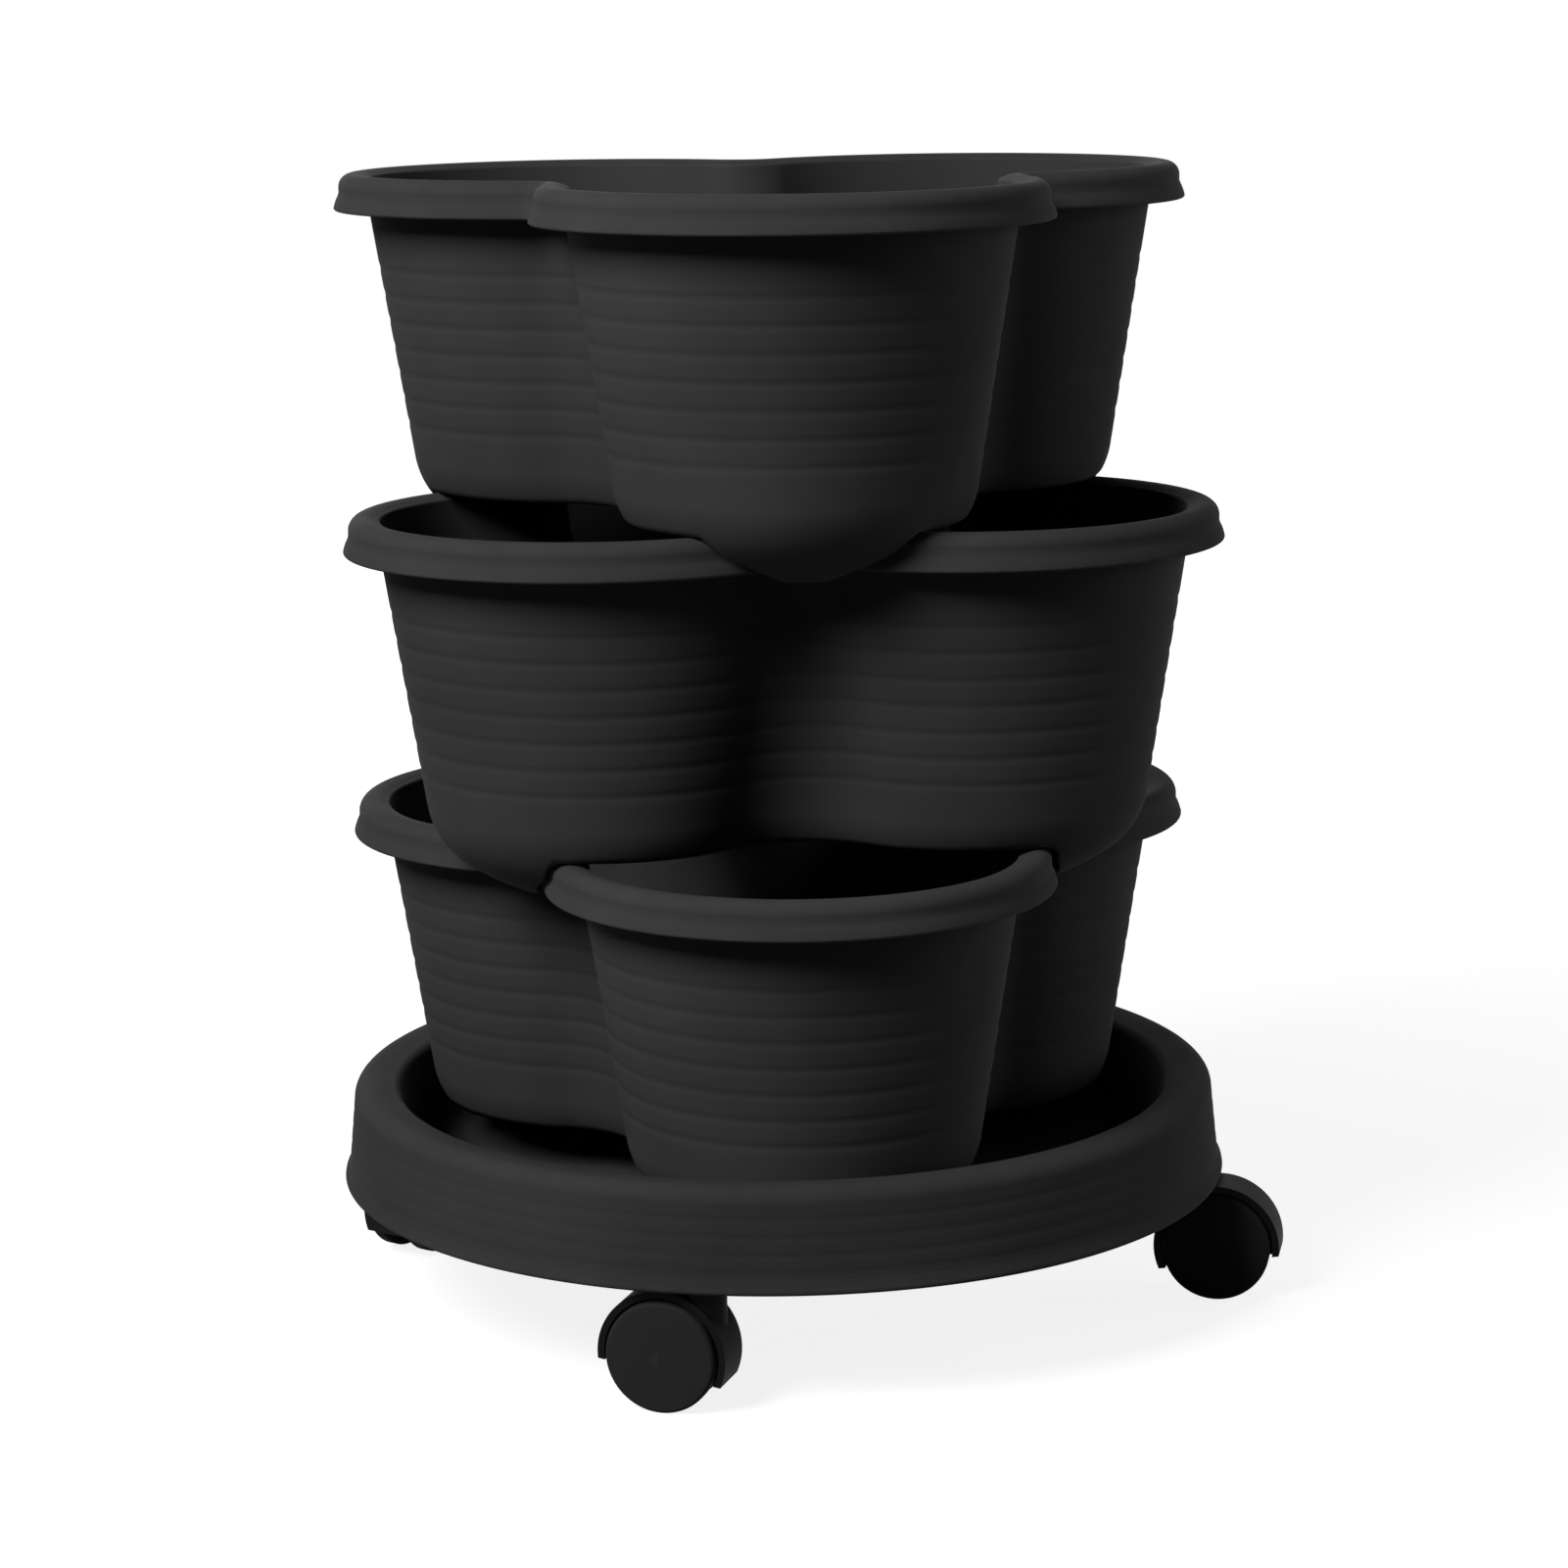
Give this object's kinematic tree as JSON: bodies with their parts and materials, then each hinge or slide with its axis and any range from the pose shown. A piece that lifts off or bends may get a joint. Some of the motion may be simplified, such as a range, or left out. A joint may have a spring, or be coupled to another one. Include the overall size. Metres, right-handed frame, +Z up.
{
  "type": "vertical planter tower",
  "caption": "Stackable lobed plastic planter pots, turned from tier to tier, on a round saucer tray with swivelling twin-wheel casters.",
  "frame": {"origin": "on the floor under the middle of the tray, midway between the caster stems", "axes": "+Z up along the tower; the front lobe of the lowest and the top pot points to -Y"},
  "size_m": [0.3513, 0.3396, 0.4191],
  "materials": {
    "pot": "satin moulded black",
    "tray": "satin moulded black",
    "hood": "satin black",
    "wheel": "hard black nylon",
    "steel": "zinc plated"
  },
  "bodies": {
    "tray": {"tray": "tray", "front_caster_stem": "steel", "front_caster_grip_ring": "steel", "right_caster_stem": "steel", "right_caster_grip_ring": "steel", "back_caster_stem": "steel", "back_caster_grip_ring": "steel", "left_caster_stem": "steel", "left_caster_grip_ring": "steel"},
    "lower_tier": {"lower_tier": "pot"},
    "middle_tier": {"middle_tier": "pot"},
    "upper_tier": {"upper_tier": "pot"},
    "front_caster": {"front_caster_hood": "hood", "front_caster_axle": "steel"},
    "front_wheel_a": {"front_caster_wheel_a": "wheel"},
    "front_wheel_b": {"front_caster_wheel_b": "wheel"},
    "right_caster": {"right_caster_hood": "hood", "right_caster_axle": "steel"},
    "right_wheel_a": {"right_caster_wheel_a": "wheel"},
    "right_wheel_b": {"right_caster_wheel_b": "wheel"},
    "back_caster": {"back_caster_hood": "hood", "back_caster_axle": "steel"},
    "back_wheel_a": {"back_caster_wheel_a": "wheel"},
    "back_wheel_b": {"back_caster_wheel_b": "wheel"},
    "left_caster": {"left_caster_hood": "hood", "left_caster_axle": "steel"},
    "left_wheel_a": {"left_caster_wheel_a": "wheel"},
    "left_wheel_b": {"left_caster_wheel_b": "wheel"}
  },
  "joints": [
    {"name": "lower_tier_lift", "type": "slide", "parent": "tray", "child": "lower_tier", "axis": [0, 0, 1], "range_m": [0, 0.2]},
    {"name": "middle_tier_lift", "type": "slide", "parent": "lower_tier", "child": "middle_tier", "axis": [0, 0, 1], "range_m": [0, 0.2]},
    {"name": "upper_tier_lift", "type": "slide", "parent": "middle_tier", "child": "upper_tier", "axis": [0, 0, 1], "range_m": [0, 0.2]},
    {"name": "front_caster_swivel", "type": "hinge", "parent": "tray", "child": "front_caster", "pos_m": [-0.04243, -0.147, 0.0435], "axis": [0, 0, 1], "continuous": true},
    {"name": "front_wheel_a_spin", "type": "hinge", "parent": "front_caster", "child": "front_wheel_a", "pos_m": [-0.05433, -0.14177, 0.02], "axis": [-0.4019, -0.9157, 0], "continuous": true},
    {"name": "front_wheel_b_spin", "type": "hinge", "parent": "front_caster", "child": "front_wheel_b", "pos_m": [-0.05433, -0.14177, 0.02], "axis": [-0.4019, -0.9157, 0], "continuous": true},
    {"name": "right_caster_swivel", "type": "hinge", "parent": "tray", "child": "right_caster", "pos_m": [0.147, -0.04243, 0.0435], "axis": [0, 0, 1], "continuous": true},
    {"name": "right_wheel_a_spin", "type": "hinge", "parent": "right_caster", "child": "right_wheel_a", "pos_m": [0.15942, -0.04627, 0.02], "axis": [0.2957, 0.9553, 0], "continuous": true},
    {"name": "right_wheel_b_spin", "type": "hinge", "parent": "right_caster", "child": "right_wheel_b", "pos_m": [0.15942, -0.04627, 0.02], "axis": [0.2957, 0.9553, 0], "continuous": true},
    {"name": "back_caster_swivel", "type": "hinge", "parent": "tray", "child": "back_caster", "pos_m": [0.04243, 0.147, 0.0435], "axis": [0, 0, 1], "continuous": true},
    {"name": "back_wheel_a_spin", "type": "hinge", "parent": "back_caster", "child": "back_wheel_a", "pos_m": [0.05433, 0.14177, 0.02], "axis": [0.4019, 0.9157, 0], "continuous": true},
    {"name": "back_wheel_b_spin", "type": "hinge", "parent": "back_caster", "child": "back_wheel_b", "pos_m": [0.05433, 0.14177, 0.02], "axis": [0.4019, 0.9157, 0], "continuous": true},
    {"name": "left_caster_swivel", "type": "hinge", "parent": "tray", "child": "left_caster", "pos_m": [-0.147, 0.04243, 0.0435], "axis": [0, 0, 1], "continuous": true},
    {"name": "left_wheel_a_spin", "type": "hinge", "parent": "left_caster", "child": "left_wheel_a", "pos_m": [-0.13864, 0.05239, 0.02], "axis": [-0.766, 0.6428, 0], "continuous": true},
    {"name": "left_wheel_b_spin", "type": "hinge", "parent": "left_caster", "child": "left_wheel_b", "pos_m": [-0.13864, 0.05239, 0.02], "axis": [-0.766, 0.6428, 0], "continuous": true}
  ]
}
